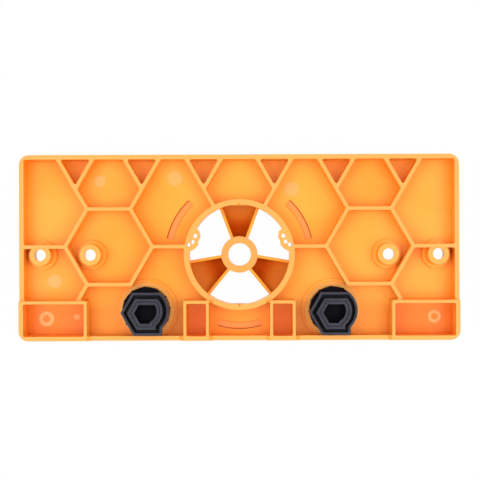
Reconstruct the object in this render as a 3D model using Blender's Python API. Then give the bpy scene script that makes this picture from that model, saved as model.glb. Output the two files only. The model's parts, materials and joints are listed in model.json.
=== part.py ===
"""Concealed-hinge drilling jig, lying on its top side with the ribbed working side up.

The jig is one moulded plate with two indexing cams. X runs along the plate, +Y points from the
fenced edge towards the far edge, and +Z points out of the working side. The origin is on the
surface that the drill guide and the two dials stand on, under the middle of the object.
"""

import math

import bmesh
import bpy
from mathutils import Matrix

# Plate
PLATE_LENGTH = 0.2250
PLATE_WIDTH = 0.0950
PLATE_CORNER_RADIUS = 0.0050
TOP_EDGE_ROUNDING = 0.0012
SKIN = 0.0025
RIB_HEIGHT = 0.0120
RIM_WALL = 0.0023
RIB_WALL = 0.0018
POCKET_CORNER_RADIUS = 0.0008
DRAFT = math.radians(1.0)

# Honeycomb of ribs
CELL_TO_FENCE = 0.0084
CELL_TO_RIM = 0.0254
CELL_PLACE = 0.478
FORK_RISE = 0.0102
MIDDLE_FORK_X = 0.0181
MIDDLE_FORK_PLACE = 0.4375
LEG_FOOT_ON_BLOCK = 0.0050

# Drill guide in the middle
CUP_TO_FENCE = 0.0235
RING_BORE_RADIUS = 0.0257
RING_WALL = 0.0027
GUIDE_BORE_RADIUS = 0.0060
GUIDE_WALL = 0.0035
GUIDE_SETBACK = 0.0150
GUIDE_PROJECTION = 0.0175
GUIDE_END_CHAMFER = 0.0008
SPOKE_WALL = 0.0016
SPOKE_FLOOR = 0.0020
SPOKE_WIDTH_AT_GUIDE = 0.0091
SPOKE_WIDTH_AT_RING = 0.0204
SPOKE_END_STEP = 0.0022
SPOKE_ANGLES = (90, 210, 330)

# Centre-line notches and hinge-screw holes on the ring
NOTCH_FLAT_DISTANCE = 0.0253
NOTCH_HALF_WIDTH = 0.0008
NOTCH_DEPTH = 0.0013
PILOT_HOLES = ((0.0226, 0.0096), (0.0239, 0.0066), (0.0261, 0.0051))
PILOT_RADIUS = 0.0011
LOBE_CORNERS = ((0.0229, 0.0030), (0.0212, 0.0049), (0.0209, 0.0072), (0.0199, 0.0089), (0.0203, 0.0118))
LOBE_ANGLES = (3.2, 31.5)
LOBE_DEPTH = 0.0050
LOBE_RELIEF = 0.0001

# Raised fence blocks along the working edge
FENCE_HEIGHT = 0.0030
FENCE_BLOCK_DEPTH = 0.0203
FENCE_BLOCK_WALL = 0.0015
FENCE_RAMP = 0.0020
FENCE_LEDGE = 0.0001
RELIEF_MARGIN = 0.0050
CAM_TO_END_BLOCK = 0.0298
INNER_BLOCK_LENGTH = 0.0130
INNER_BLOCK_CENTRE_X = 0.0221

# Pin bosses on the line through the cup's centre
PIN_TO_END = 0.0106
PIN_SPACING = 0.0256
PIN_HOLE_RADIUS = 0.0029
PIN_LIP = 0.0020
PIN_COUNTERBORE_RADIUS = 0.0041
PIN_BOSS_RADIUS = 0.0054
PIN_BOSS_RELIEF = 0.0002
PIN_FOOT_RADIUS = 0.0074
PIN_FOOT_HEIGHT = 0.0030

# Arc recesses in the floor round the ring
RECESS_RADII = (0.0350, 0.0388)
RECESS_HALF_ANGLE = 17.5
RECESS_ANGLES = (30, 150, 270)
RECESS_DEPTH = 0.0012

# Indexing cams. Each flat is a stop, one step farther from the axis than the last.
CAM_SPACING = 0.0960
CUP_TO_CAM = 0.0286
CAM_FIRST_FLAT = 0.00625
CAM_STEP = 0.0010
CAM_FLAT_NORMALS = (90, 150, 210, 270)
CAM_ARC_RADIUS = 0.0079
CAM_SHOULDER = 0.00485
CAM_CORNER_RADIUS = 0.0005
CAM_EDGE_CHAMFER = 0.00025
CAM_POST_HEIGHT = 0.0024
CAM_PLATE_OFFSET = 0.0031
CAM_PLATE_THICKNESS = 0.0034
CAM_PLATE_WALL = 0.0013
CAM_GROOVE_DEPTH = 0.0028
CAM_POST_FOOT = 0.00015
CAM_WELL_OFFSET = 0.0030
CAM_LINE_OFFSET = 0.0017
CAM_LINE_WIDTH = 0.0005
CAM_LINE_DEPTH = 0.0008
CAM_WEB = 0.0050
CAM_NECK_RADIUS = 0.0095
CAM_DRUM_RADIUS = 0.0114
CAM_DRUM_DROP = 0.0021
DETENT_COUNT = 12
DETENT_FIRST_ANGLE = 5
DETENT_RADIUS = 0.0009
DETENT_PROUD = 0.0009

# Raised seat that the cam's drum turns on
SEAT_RADIUS = 0.0142
SEAT_HEIGHT = 0.0026
SEAT_STEP_RADIUS = 0.0160
SEAT_STEP_HEIGHT = 0.0013
SEAT_IN_RIM = 0.0010
SEAT_STEP_IN_RIM = 0.0009

# Setting dials on the hidden side
DIAL_RADIUS = 0.0145
DIAL_THICKNESS = 0.0038
DIAL_CHAMFER = 0.0008
DIAL_GRIP_LENGTH = 0.0250
DIAL_GRIP_WIDTH = 0.0080
DIAL_GRIP_TAPER = 0.0008
DIAL_SHAFT_RADIUS = 0.0060
DIAL_KEY_FLATS = 0.0070
DIAL_KEY_HEIGHT = 0.0026
DIAL_POINTER_LENGTH = 0.0030
DIAL_POINTER_DEPTH = 0.0006
DIAL_POINTER_GAP = 0.0012

# Cam screws
SCREW_SHANK_RADIUS = 0.0016
SCREW_TIP_RADIUS = 0.0006
SCREW_HEAD_RADIUS = 0.0030
SCREW_HEAD_HEIGHT = 0.0022
SCREW_HEAD_RIM = 0.0011
SCREW_CROWN_RADIUS = 0.0024
SCREW_CROWN_DROP = 0.0003
SCREW_TOP_RADIUS = 0.0012
SCREW_LENGTH = 0.0180
SCREW_RECESS_RADIUS = 0.0033
SCREW_RECESS_DEPTH = 0.0100
SCREW_TIP_ROOM = 0.0010

# Fits
SEAT_GAP = 0.0003
RUNNING_GAP = 0.0003
OVERSHOOT = 0.0010
EMBED = 0.0010

# Levels, measured up from the resting surface
Z_TOP_SIDE = GUIDE_PROJECTION
Z_FLOOR = Z_TOP_SIDE + SKIN
Z_WORK = Z_FLOOR + RIB_HEIGHT
Z_FENCE = Z_WORK + FENCE_HEIGHT
Z_GUIDE = Z_WORK - GUIDE_SETBACK
Z_SEAT = Z_FLOOR + SEAT_HEIGHT
Z_DRUM_BOTTOM = Z_SEAT + SEAT_GAP
Z_WELL_BOTTOM = Z_DRUM_BOTTOM + DIAL_KEY_HEIGHT + CAM_WEB
Z_CAM_PLATE_BOTTOM = Z_WORK + RUNNING_GAP + PIN_BOSS_RELIEF
Z_CAM_PLATE_TOP = Z_CAM_PLATE_BOTTOM + CAM_PLATE_THICKNESS
Z_CAM_TOP = Z_CAM_PLATE_TOP + CAM_POST_HEIGHT
Z_DRUM_TOP = Z_WORK - CAM_DRUM_DROP
Z_DIAL_DISC = Z_TOP_SIDE - SEAT_GAP
Z_SCREW_HEAD = SCREW_RECESS_DEPTH - SEAT_GAP

# Lines in the plan
Y_EDGE = -PLATE_WIDTH / 2
Y_FENCE = Y_EDGE + FENCE_BLOCK_DEPTH
Y_CUP = Y_FENCE + CUP_TO_FENCE
Y_CAM = Y_CUP - CUP_TO_CAM
X_RIM = PLATE_LENGTH / 2 - RIM_WALL
Y_RIM = PLATE_WIDTH / 2 - RIM_WALL
X_END_BLOCK = CAM_SPACING / 2 + CAM_TO_END_BLOCK
X_INNER_BLOCK = (
    INNER_BLOCK_CENTRE_X - INNER_BLOCK_LENGTH / 2,
    INNER_BLOCK_CENTRE_X + INNER_BLOCK_LENGTH / 2,
)
RING_RADIUS = RING_BORE_RADIUS + RING_WALL
GUIDE_RADIUS = GUIDE_BORE_RADIUS + GUIDE_WALL
X_PINS = (PLATE_LENGTH / 2 - PIN_TO_END - PIN_SPACING, PLATE_LENGTH / 2 - PIN_TO_END)

# Hexagonal cells. Each fills the height left between the fence and the forks at the far rim, and
# stands at its own place between the ring and the end of the plate.
LEAN = 1 / math.tan(math.radians(60))
CELL_RISE = (Y_RIM - CELL_TO_RIM - Y_FENCE - CELL_TO_FENCE) / 2
CELL_SIDE = CELL_RISE / math.sin(math.radians(60))
CELL_CENTRE_Y = Y_FENCE + CELL_TO_FENCE + CELL_RISE
CELL_NEAREST_X = RING_RADIUS + CELL_SIDE
CELL_FARTHEST_X = X_RIM - CELL_SIDE / 2 - CELL_TO_RIM * LEAN
CELL_CENTRE_X = CELL_NEAREST_X + CELL_PLACE * (CELL_FARTHEST_X - CELL_NEAREST_X)
Y_FORK = CELL_CENTRE_Y + CELL_RISE + FORK_RISE
Y_RING_AT_FORK = Y_CUP + math.sqrt(RING_RADIUS ** 2 - MIDDLE_FORK_X ** 2)
Y_MIDDLE_FORK = Y_RING_AT_FORK + MIDDLE_FORK_PLACE * (Y_RIM - Y_RING_AT_FORK)

# Colours in linear RGB
ORANGE_ABS = (0.95, 0.35, 0.06)
BLACK_NYLON = (0.017, 0.017, 0.019)
ZINC_PLATED = (0.62, 0.63, 0.65)


def clear_scene():
    for item in list(bpy.data.objects):
        bpy.data.objects.remove(item, do_unlink=True)


def make_material(name, colour, roughness, metallic=0.0):
    material = bpy.data.materials.new(name)
    material.use_nodes = True
    shader = material.node_tree.nodes["Principled BSDF"]
    shader.inputs["Base Color"].default_value = (*colour, 1.0)
    shader.inputs["Roughness"].default_value = roughness
    shader.inputs["Metallic"].default_value = metallic
    material.diffuse_color = (*colour, 1.0)
    return material


def arc(centre, radius, start, end, steps):
    """Points on a circle from the start angle to the end angle, both in degrees."""
    points = []
    for step in range(steps + 1):
        angle = math.radians(start + (end - start) * step / steps)
        points.append((centre[0] + radius * math.cos(angle), centre[1] + radius * math.sin(angle)))
    return points


def circle(centre, radius, sides):
    return arc(centre, radius, 0, 360 * (sides - 1) / sides, sides - 1)


def meet(first, second):
    """Point where two lines cross, each given as a point and a direction."""
    (ax, ay), (adx, ady) = first
    (bx, by), (bdx, bdy) = second
    along = ((bx - ax) * bdy - (by - ay) * bdx) / (adx * bdy - ady * bdx)
    return ax + adx * along, ay + ady * along


def inset_outline(corners, insets):
    """Counterclockwise outline with the edge after each corner moved inwards by its own inset."""
    lines = []
    for index, (x, y) in enumerate(corners):
        next_x, next_y = corners[(index + 1) % len(corners)]
        dx, dy = next_x - x, next_y - y
        length = math.hypot(dx, dy)
        move = insets[index] / length
        lines.append(((x - dy * move, y + dx * move), (dx, dy)))
    return [meet(lines[index - 1], lines[index]) for index in range(len(lines))]


def round_corners(points, radius):
    """Outline with each real corner turned into an arc; the gentle turns of an arc stay as they are."""
    rounded = []
    for index, (x, y) in enumerate(points):
        back_x, back_y = points[index - 1][0] - x, points[index - 1][1] - y
        on_x, on_y = points[(index + 1) % len(points)][0] - x, points[(index + 1) % len(points)][1] - y
        back, on = math.hypot(back_x, back_y), math.hypot(on_x, on_y)
        cosine = (back_x * on_x + back_y * on_y) / (back * on)
        opening = math.acos(max(-1.0, min(1.0, cosine)))
        turn = math.pi - opening
        if turn < math.radians(20):
            rounded.append((x, y))
            continue
        reach = min(radius / math.tan(opening / 2), 0.45 * back, 0.45 * on)
        fillet = reach * math.tan(opening / 2)
        half_x, half_y = back_x / back + on_x / on, back_y / back + on_y / on
        to_centre = math.hypot(fillet, reach) / math.hypot(half_x, half_y)
        centre = (x + half_x * to_centre, y + half_y * to_centre)
        first = math.atan2(y + back_y / back * reach - centre[1], x + back_x / back * reach - centre[0])
        last = math.atan2(y + on_y / on * reach - centre[1], x + on_x / on * reach - centre[0])
        sweep = (last - first + math.pi) % (2 * math.pi) - math.pi
        steps = max(2, math.ceil(turn / math.radians(35)))
        rounded += arc(centre, fillet, math.degrees(first), math.degrees(first + sweep), steps)
    return rounded


def loft(bm, sections):
    """Closed solid through outlines of equal length, from the lowest to the highest.

    Each section is a counterclockwise outline and its height.
    """
    loops = [[bm.verts.new((x, y, z)) for x, y in outline] for outline, z in sections]
    for lower, upper in zip(loops, loops[1:]):
        for index in range(len(lower)):
            after = (index + 1) % len(lower)
            bm.faces.new((lower[index], lower[after], upper[after], upper[index]))
    bm.faces.new(loops[0][::-1])
    bm.faces.new(loops[-1])


def prism(bm, outline, low, high):
    loft(bm, [(outline, low), (outline, high)])


def turned(bm, centre, profile, sides):
    """Solid of revolution from (radius, height) steps, lowest first, on an upright axis."""
    loft(bm, [(circle(centre, radius, sides), z) for radius, z in profile])


def finish_object(name, bm, material, location=(0.0, 0.0, 0.0), parent=None):
    mesh = bpy.data.meshes.new(name)
    bm.to_mesh(mesh)
    bm.free()
    mesh.materials.append(material)
    item = bpy.data.objects.new(name, mesh)
    item.location = location
    item.parent = parent
    bpy.context.scene.collection.objects.link(item)
    return item


def finish_tool(name, bm, target, operation):
    """Hides a tool body and lets it cut or join the target."""
    mesh = bpy.data.meshes.new(name)
    bm.to_mesh(mesh)
    bm.free()
    tool = bpy.data.objects.new(name, mesh)
    tool.location = target.location
    tool.parent = target.parent
    tool.hide_render = True
    tool.display_type = "WIRE"
    bpy.context.scene.collection.objects.link(tool)
    modifier = target.modifiers.new(name, "BOOLEAN")
    modifier.operation = operation
    modifier.object = tool
    modifier.solver = "EXACT"


def shade(item, angle=math.radians(30)):
    item.data.shade_smooth()
    item.data.set_sharp_from_angle(angle=angle)


def mirrored(points):
    return [(-x, y) for x, y in points][::-1]


def plate_outline(inset=0.0):
    half_x, half_y = PLATE_LENGTH / 2 - inset, PLATE_WIDTH / 2 - inset
    corners = [(-half_x, -half_y), (half_x, -half_y), (half_x, half_y), (-half_x, half_y)]
    outline = []
    for (x, y), start in zip(corners, (180, 270, 0, 90)):
        radius = PLATE_CORNER_RADIUS - inset
        centre = (x - math.copysign(radius, x), y - math.copysign(radius, y))
        outline += arc(centre, radius, start, start + 90, 6)
    return outline


def plate_blank():
    """Block as tall as the fences, its top-side edge rounded in three steps."""
    bm = bmesh.new()
    sections = []
    for step in range(4):
        angle = math.radians(90 * step / 3)
        inset = TOP_EDGE_ROUNDING * (1 - math.sin(angle))
        sections.append((plate_outline(inset), Z_TOP_SIDE + TOP_EDGE_ROUNDING * (1 - math.cos(angle))))
    sections.append((plate_outline(), Z_FENCE))
    loft(bm, sections)
    return bm


def relief_tool():
    """Takes the block down to the working plane, but for the four fence blocks and their end ramps."""
    beyond_x, beyond_y = PLATE_LENGTH / 2 + RELIEF_MARGIN, PLATE_WIDTH / 2 + RELIEF_MARGIN
    near, far = X_INNER_BLOCK
    right = [
        (near, -beyond_y), (near, Y_FENCE), (far, Y_FENCE), (far, -beyond_y),
        (X_END_BLOCK, -beyond_y), (X_END_BLOCK, Y_FENCE), (beyond_x, Y_FENCE), (beyond_x, beyond_y),
    ]
    corners = mirrored(right) + right
    ramps = []
    for index, corner in enumerate(corners):
        after = corners[(index + 1) % len(corners)]
        upright = abs(corner[0] - after[0]) < 1e-9
        beside_block = upright and abs(corner[0]) < beyond_x
        ramps.append(FENCE_RAMP if beside_block else 0.0)
    slope = OVERSHOOT / FENCE_HEIGHT
    bm = bmesh.new()
    loft(bm, [
        (inset_outline(corners, ramps), Z_WORK),
        (inset_outline(corners, [-ramp * slope for ramp in ramps]), Z_FENCE + OVERSHOOT),
    ])
    return bm


def on_ring(point, fork):
    """Point where the line from the fork through the point runs into the ring, and its angle."""
    dx, dy = point[0] - fork[0], point[1] - fork[1]
    length = math.hypot(dx, dy)
    dx, dy = dx / length, dy / length
    along = -(fork[0] * dx + (fork[1] - Y_CUP) * dy)
    miss = math.hypot(fork[0] + dx * along, fork[1] - Y_CUP + dy * along)
    along -= math.sqrt(RING_RADIUS ** 2 - miss ** 2)
    x, y = fork[0] + dx * along, fork[1] + dy * along
    return (x, y), math.degrees(math.atan2(y - Y_CUP, x)) % 360


def ring_arc(start, end):
    steps = max(2, round(abs(end - start) / 6))
    return arc((0.0, Y_CUP), RING_RADIUS, start, end, steps)


def pocket_cells():
    """Every pocket as corners and insets, one inset for the edge after each corner.

    Corners lie on the ribs' centre lines, so a rib's edge moves in by half its wall, and a rim or
    ring edge stays where it is. A thin ledge is left in front of each fence face. The left half is
    listed and then mirrored.
    """
    cell = [
        (-CELL_CENTRE_X + CELL_SIDE * math.cos(math.radians(angle)),
         CELL_CENTRE_Y + CELL_SIDE * math.sin(math.radians(angle)))
        for angle in range(0, 360, 60)
    ]
    east, north_east, north_west, west, south_west, south_east = cell
    forks = []
    for x, y in (
        (north_west[0] - FORK_RISE * LEAN, Y_FORK),
        (north_east[0] + FORK_RISE * LEAN, Y_FORK),
        (-MIDDLE_FORK_X, Y_MIDDLE_FORK),
    ):
        reach = (Y_RIM - y) * LEAN
        forks.append(((x - reach, Y_RIM), (x, y), (x + reach, Y_RIM)))
    (left_1, tip_1, right_1), (left_2, tip_2, right_2), (left_3, tip_3, right_3) = forks
    below_tip_3 = (tip_3[0] + FORK_RISE * LEAN, tip_3[1] - FORK_RISE)
    fork_on_ring, fork_angle = on_ring(below_tip_3, tip_3)
    rib_on_ring, rib_angle = on_ring((0.0, CELL_CENTRE_Y), east)
    near, far = X_INNER_BLOCK
    block_angle = on_ring((0.0, Y_FENCE), (-far, Y_FENCE))[1]
    leg_foot = (-X_END_BLOCK - LEG_FOOT_ON_BLOCK, Y_FENCE)
    rim_rib = (-X_RIM, CELL_CENTRE_Y)

    def cell_of(*pieces):
        corners, insets = [], []
        for points, inset in pieces:
            corners += points
            insets += [inset] * len(points)
        return corners, insets

    rib, wall, ledge = RIB_WALL / 2, 0.0, FENCE_LEDGE
    left = [
        cell_of(([(-X_RIM, Y_RIM)], wall), ([rim_rib, west, north_west], rib), ([left_1], wall)),
        cell_of(([left_1, tip_1], rib), ([right_1], wall)),
        cell_of(([right_1, tip_1, north_west, north_east, tip_2], rib), ([left_2], wall)),
        cell_of(([left_2, tip_2], rib), ([right_2], wall)),
        cell_of(([right_2, north_east, east], rib), (ring_arc(rib_angle, fork_angle)[:-1], wall),
                ([fork_on_ring], rib), ([left_3], wall)),
        cell_of(([left_3, tip_3], rib), ([right_3], wall)),
        cell_of((cell, rib)),
        cell_of(([rim_rib], wall), ([(-X_RIM, Y_FENCE)], ledge), ([leg_foot, south_west, west], rib)),
        cell_of(([leg_foot], ledge), ([(-X_END_BLOCK, Y_FENCE), (-X_END_BLOCK, -Y_RIM), (-far, -Y_RIM)], wall),
                ([(-far, Y_FENCE)], ledge), (ring_arc(block_angle, rib_angle)[:-1], wall),
                ([rib_on_ring, east, south_east, south_west], rib)),
        cell_of(([(-X_RIM, -Y_RIM), (-X_END_BLOCK - FENCE_BLOCK_WALL, -Y_RIM)], wall),
                ([(-X_END_BLOCK - FENCE_BLOCK_WALL, Y_FENCE - FENCE_BLOCK_WALL)], wall),
                ([(-X_RIM, Y_FENCE - FENCE_BLOCK_WALL)], wall)),
        cell_of(([(-far + FENCE_BLOCK_WALL, -Y_RIM), (-near - FENCE_BLOCK_WALL, -Y_RIM)], wall),
                ([(-near - FENCE_BLOCK_WALL, Y_FENCE - FENCE_BLOCK_WALL)], wall),
                ([(-far + FENCE_BLOCK_WALL, Y_FENCE - FENCE_BLOCK_WALL)], wall)),
    ]
    cells = list(left)
    for corners, insets in left:
        cells.append((mirrored(corners), insets[-2::-1] + insets[-1:]))
    right_fork = mirrored([right_3, tip_3, fork_on_ring])
    cells.append(cell_of(([right_3, tip_3], rib), (ring_arc(fork_angle, 180 - fork_angle)[:-1], wall),
                         (right_fork[:2], rib), (right_fork[2:], wall)))
    corner_angle = math.degrees(math.acos(near / RING_RADIUS))
    cells.append(cell_of(([(-near, -Y_RIM), (near, -Y_RIM)], wall),
                         (ring_arc(-corner_angle, corner_angle - 180), wall)))
    return cells


def pocket_tools():
    """Drafted plugs that leave the floor, the ribs and the rim standing."""
    bm = bmesh.new()
    for corners, insets in pocket_cells():
        sections = []
        for z in (Z_FLOOR, Z_FENCE + OVERSHOOT):
            shrink = (Z_WORK - z) * math.tan(DRAFT)
            outline = inset_outline(corners, [inset + shrink for inset in insets])
            sections.append((round_corners(outline, POCKET_CORNER_RADIUS), z))
        loft(bm, sections)
    return bm


def bore_outline(relief, lobed):
    """Edge of the ring's bore, widened by the relief: two notched flats and, if lobed, two lobes."""
    bore, radius = (0.0, 0.0), RING_BORE_RADIUS + relief
    flat_y = NOTCH_FLAT_DISTANCE + relief
    flat_angle = math.degrees(math.asin(flat_y / radius))
    lobe_start, lobe_end = LOBE_ANGLES
    lower = arc(bore, radius, -flat_angle, lobe_start, 13)
    upper = arc(bore, radius, lobe_end, flat_angle, 8)
    between = arc(bore, radius, lobe_start, lobe_end, len(LOBE_CORNERS) + 1)[1:-1]
    right = [(NOTCH_HALF_WIDTH, -flat_y)] + lower
    right += list(LOBE_CORNERS) if lobed else between
    right += upper + [(NOTCH_HALF_WIDTH, flat_y)]
    near_notch, far_notch = (0.0, -flat_y - NOTCH_DEPTH), (0.0, flat_y + NOTCH_DEPTH)
    outline = [near_notch] + right + [far_notch] + mirrored(right)
    return [(x, y + Y_CUP) for x, y in outline]


def window_tool():
    """Everything inside the ring, but for the lobes, which stand only at the working end."""
    whole, lobed = bore_outline(LOBE_RELIEF, False), bore_outline(0.0, True)
    z_lobes = Z_WORK - LOBE_DEPTH
    bm = bmesh.new()
    loft(bm, [
        (whole, Z_TOP_SIDE - OVERSHOOT),
        (whole, z_lobes),
        (lobed, z_lobes),
        (lobed, Z_FENCE + OVERSHOOT),
    ])
    return bm


def spoke_tools():
    """Three channel-section spokes that rise from the plate's skin to the outer end of the guide.

    Each is a ruled solid between a small section inside the guide's wall and a wide one that ends
    in the skin beyond the ring.
    """
    inner = GUIDE_BORE_RADIUS + EMBED
    outer = RING_RADIUS + EMBED
    guide_reach = math.sqrt(GUIDE_RADIUS ** 2 - (SPOKE_WIDTH_AT_GUIDE / 2) ** 2)
    ring_reach = math.sqrt(RING_BORE_RADIUS ** 2 - (SPOKE_WIDTH_AT_RING / 2) ** 2)
    widening = (SPOKE_WIDTH_AT_RING - SPOKE_WIDTH_AT_GUIDE) / 2 / (ring_reach - guide_reach)
    inside_skin = SKIN / 10
    inner_levels = (SPOKE_END_STEP, SPOKE_END_STEP + SPOKE_FLOOR, Z_GUIDE - inside_skin * 2)
    outer_levels = (Z_TOP_SIDE + inside_skin, Z_FLOOR - inside_skin * 2, Z_FLOOR - inside_skin)
    bm = bmesh.new()
    for angle in SPOKE_ANGLES:
        turn = Matrix.Rotation(math.radians(angle), 4, "Z")
        sections = []
        for reach, (low, floor, high) in ((inner, inner_levels), (outer, outer_levels)):
            half = SPOKE_WIDTH_AT_GUIDE / 2 + widening * (reach - guide_reach)
            channel = half - SPOKE_WALL
            outline = [(-half, low), (half, low), (half, high), (channel, high),
                       (channel, floor), (-channel, floor), (-channel, high), (-half, high)]
            ring = []
            for across, z in outline:
                point = turn @ Matrix.Translation((reach, across, z))
                ring.append(bm.verts.new((point[0][3], point[1][3] + Y_CUP, point[2][3])))
            sections.append(ring)
        first, second = sections
        for index in range(len(first)):
            after = (index + 1) % len(first)
            bm.faces.new((first[index], first[after], second[after], second[index]))
        bm.faces.new(first[::-1])
        bm.faces.new(second)
    bmesh.ops.recalc_face_normals(bm, faces=bm.faces)
    return bm


def guide_tool():
    bm = bmesh.new()
    turned(bm, (0.0, Y_CUP), [
        (GUIDE_RADIUS - GUIDE_END_CHAMFER, 0.0),
        (GUIDE_RADIUS, GUIDE_END_CHAMFER),
        (GUIDE_RADIUS, Z_GUIDE),
    ], 48)
    return bm


def boss_tools():
    """Pin bosses with their feet, and the two stepped seats under the cams."""
    bm = bmesh.new()
    rooted = Z_FLOOR - EMBED
    drafted = PIN_BOSS_RADIUS + RIB_HEIGHT * math.tan(DRAFT)
    for side in (-1, 1):
        for x in X_PINS:
            turned(bm, (side * x, Y_CUP), [
                (PIN_FOOT_RADIUS, rooted),
                (PIN_FOOT_RADIUS, Z_FLOOR + PIN_FOOT_HEIGHT),
                (drafted, Z_FLOOR + PIN_FOOT_HEIGHT),
                (PIN_BOSS_RADIUS, Z_WORK - PIN_BOSS_RELIEF),
            ], 32)
        seat_sections = []
        for radius, in_rim, z in (
            (SEAT_STEP_RADIUS, SEAT_STEP_IN_RIM, rooted),
            (SEAT_STEP_RADIUS, SEAT_STEP_IN_RIM, Z_FLOOR + SEAT_STEP_HEIGHT),
            (SEAT_RADIUS, SEAT_IN_RIM, Z_FLOOR + SEAT_STEP_HEIGHT),
            (SEAT_RADIUS, SEAT_IN_RIM, Z_SEAT),
        ):
            outline = circle((side * CAM_SPACING / 2, Y_CAM), radius, 64)
            lowest = Y_EDGE + RIM_WALL - in_rim
            seat_sections.append(([(x, max(y, lowest)) for x, y in outline], z))
        loft(bm, seat_sections)
    return bm


def hole_tools():
    """Guide bore, pin holes, hinge-screw pilots, dial shaft holes and the three arc recesses."""
    bm = bmesh.new()
    below, above = Z_TOP_SIDE - OVERSHOOT, Z_FENCE + OVERSHOOT
    prism(bm, circle((0.0, Y_CUP), GUIDE_BORE_RADIUS, 48), -OVERSHOOT, Z_GUIDE + OVERSHOOT)
    for side in (-1, 1):
        for x in X_PINS:
            lip = Z_WORK - PIN_BOSS_RELIEF - PIN_LIP
            turned(bm, (side * x, Y_CUP), [
                (PIN_COUNTERBORE_RADIUS, below),
                (PIN_COUNTERBORE_RADIUS, lip),
                (PIN_HOLE_RADIUS, lip),
                (PIN_HOLE_RADIUS, above),
            ], 32)
        for x, y in PILOT_HOLES:
            prism(bm, circle((side * x, Y_CUP + y), PILOT_RADIUS, 12), below, above)
        shaft_hole = DIAL_SHAFT_RADIUS + RUNNING_GAP
        prism(bm, circle((side * CAM_SPACING / 2, Y_CAM), shaft_hole, 48), below, above)
    for angle in RECESS_ANGLES:
        start, end = angle - RECESS_HALF_ANGLE, angle + RECESS_HALF_ANGLE
        inner, outer = RECESS_RADII
        outline = arc((0.0, Y_CUP), outer, start, end, 8) + arc((0.0, Y_CUP), inner, end, start, 8)
        prism(bm, round_corners(outline, POCKET_CORNER_RADIUS), Z_FLOOR - RECESS_DEPTH, Z_WORK - OVERSHOOT)
    return bm


def pointer_tools():
    """Small moulded arrow on the top side that each dial is read against."""
    bm = bmesh.new()
    for side in (-1, 1):
        tip = Y_CAM + DIAL_RADIUS + DIAL_POINTER_GAP
        half = DIAL_POINTER_LENGTH / 2
        outline = [(0.0, tip), (half, tip + DIAL_POINTER_LENGTH), (-half, tip + DIAL_POINTER_LENGTH)]
        outline = [(x + side * CAM_SPACING / 2, y) for x, y in outline]
        prism(bm, outline, Z_TOP_SIDE - DIAL_POINTER_DEPTH, Z_TOP_SIDE + SKIN / 2)
    return bm


def build_guide_plate(material):
    plate = finish_object("guide_plate", plate_blank(), material)
    finish_tool("plate_relief", relief_tool(), plate, "DIFFERENCE")
    finish_tool("plate_pockets", pocket_tools(), plate, "DIFFERENCE")
    finish_tool("plate_windows", window_tool(), plate, "DIFFERENCE")
    finish_tool("plate_spokes", spoke_tools(), plate, "UNION")
    finish_tool("plate_guide", guide_tool(), plate, "UNION")
    finish_tool("plate_bosses", boss_tools(), plate, "UNION")
    finish_tool("plate_pointers", pointer_tools(), plate, "UNION")
    finish_tool("plate_holes", hole_tools(), plate, "DIFFERENCE")
    shade(plate)
    return plate


def cam_outline(offset):
    """Stepped outline of the cam about its axis, moved outwards by the offset.

    Four flats stand 60 degrees and one step apart. The last ends at an upright shoulder, and a
    concentric arc leads from the shoulder back to the first flat.
    """
    lines = []
    for index, normal in enumerate(CAM_FLAT_NORMALS):
        distance = CAM_FIRST_FLAT + CAM_STEP * index + offset
        angle = math.radians(normal)
        foot = (distance * math.cos(angle), distance * math.sin(angle))
        lines.append((foot, (-math.sin(angle), math.cos(angle))))
    shoulder = CAM_SHOULDER + offset
    radius = CAM_ARC_RADIUS + offset
    first_flat = CAM_FIRST_FLAT + offset
    lines.append(((shoulder, 0.0), (0.0, 1.0)))
    corners = [meet(line, after) for line, after in zip(lines, lines[1:])]
    start = -math.degrees(math.acos(shoulder / radius))
    end = math.degrees(math.asin(first_flat / radius))
    outline = corners + arc((0.0, 0.0), radius, start, end, 12)
    return round_corners(outline, CAM_CORNER_RADIUS)


def ring_between(bm, outer, inner, low, high):
    """Closed band between two outlines of equal length, for cutting a groove."""
    walls = [
        [bm.verts.new((x, y, z)) for x, y in outline]
        for outline, z in ((outer, low), (outer, high), (inner, high), (inner, low))
    ]
    for wall, after in zip(walls, walls[1:] + walls[:1]):
        for index in range(len(wall)):
            nxt = (index + 1) % len(wall)
            bm.faces.new((wall[index], wall[nxt], after[nxt], after[index]))


def cam_body():
    """Drum, neck and cam plate, with the post on top."""
    bm = bmesh.new()
    turned(bm, (0.0, 0.0), [
        (CAM_DRUM_RADIUS, Z_DRUM_BOTTOM),
        (CAM_DRUM_RADIUS, Z_DRUM_TOP),
        (CAM_NECK_RADIUS, Z_DRUM_TOP),
        (CAM_NECK_RADIUS, Z_CAM_PLATE_BOTTOM + EMBED / 2),
    ], 64)
    return bm


def cam_detents():
    """Six upright ridges round the drum."""
    bm = bmesh.new()
    for index in range(DETENT_COUNT):
        angle = math.radians(DETENT_FIRST_ANGLE + 360 / DETENT_COUNT * index)
        reach = CAM_DRUM_RADIUS + DETENT_PROUD - DETENT_RADIUS
        centre = (reach * math.cos(angle), reach * math.sin(angle))
        prism(bm, circle(centre, DETENT_RADIUS, 16), Z_DRUM_BOTTOM + EMBED / 2, Z_DRUM_TOP + SEAT_GAP)
    return bm


def cam_plate_and_post():
    bm = bmesh.new()
    wide, narrow = cam_outline(CAM_PLATE_OFFSET), cam_outline(0.0)
    loft(bm, [
        (wide, Z_CAM_PLATE_BOTTOM),
        (wide, Z_CAM_PLATE_TOP - CAM_EDGE_CHAMFER),
        (cam_outline(CAM_PLATE_OFFSET - CAM_EDGE_CHAMFER), Z_CAM_PLATE_TOP),
        (narrow, Z_CAM_PLATE_TOP),
        (narrow, Z_CAM_TOP - CAM_EDGE_CHAMFER),
        (cam_outline(-CAM_EDGE_CHAMFER), Z_CAM_TOP),
    ])
    return bm


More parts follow.
